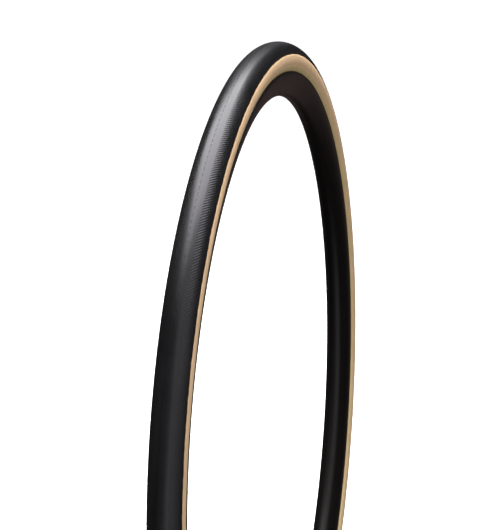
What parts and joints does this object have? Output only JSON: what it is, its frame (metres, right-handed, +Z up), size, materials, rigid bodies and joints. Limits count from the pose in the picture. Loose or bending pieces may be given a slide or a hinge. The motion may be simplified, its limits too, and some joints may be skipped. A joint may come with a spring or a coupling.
{
  "type": "bicycle tire",
  "caption": "Road bicycle tire with a black tread, fine diagonal ribs on its shoulders and tan sidewalls, seated on a plain black hoop.",
  "frame": {"origin": "centre of the wheel, on its axis and in its middle plane", "axes": "+Y along the wheel's axis, +Z up, +X along the ground line; the lowest point of the tread is at z = -0.3415 m"},
  "size_m": [0.683, 0.0298, 0.683],
  "materials": {
    "tread_rubber": "satin",
    "sidewall_rubber": "matte",
    "casing_fabric": "matte",
    "belt_fabric": "matte",
    "bead_cord": "matte",
    "chafer_rubber": "matte",
    "hoop_finish": "satin"
  },
  "bodies": {
    "root": {"tread_centre": "tread_rubber", "tread_shoulder_left": "tread_rubber", "tread_shoulder_right": "tread_rubber", "puncture_belt": "belt_fabric", "casing_ply_outer": "casing_fabric", "casing_ply_inner": "casing_fabric", "sidewall_left": "sidewall_rubber", "sidewall_right": "sidewall_rubber", "bead_core_left": "bead_cord", "bead_core_right": "bead_cord", "chafer_left": "chafer_rubber", "chafer_right": "chafer_rubber", "rim_hoop": "hoop_finish"}
  },
  "joints": []
}
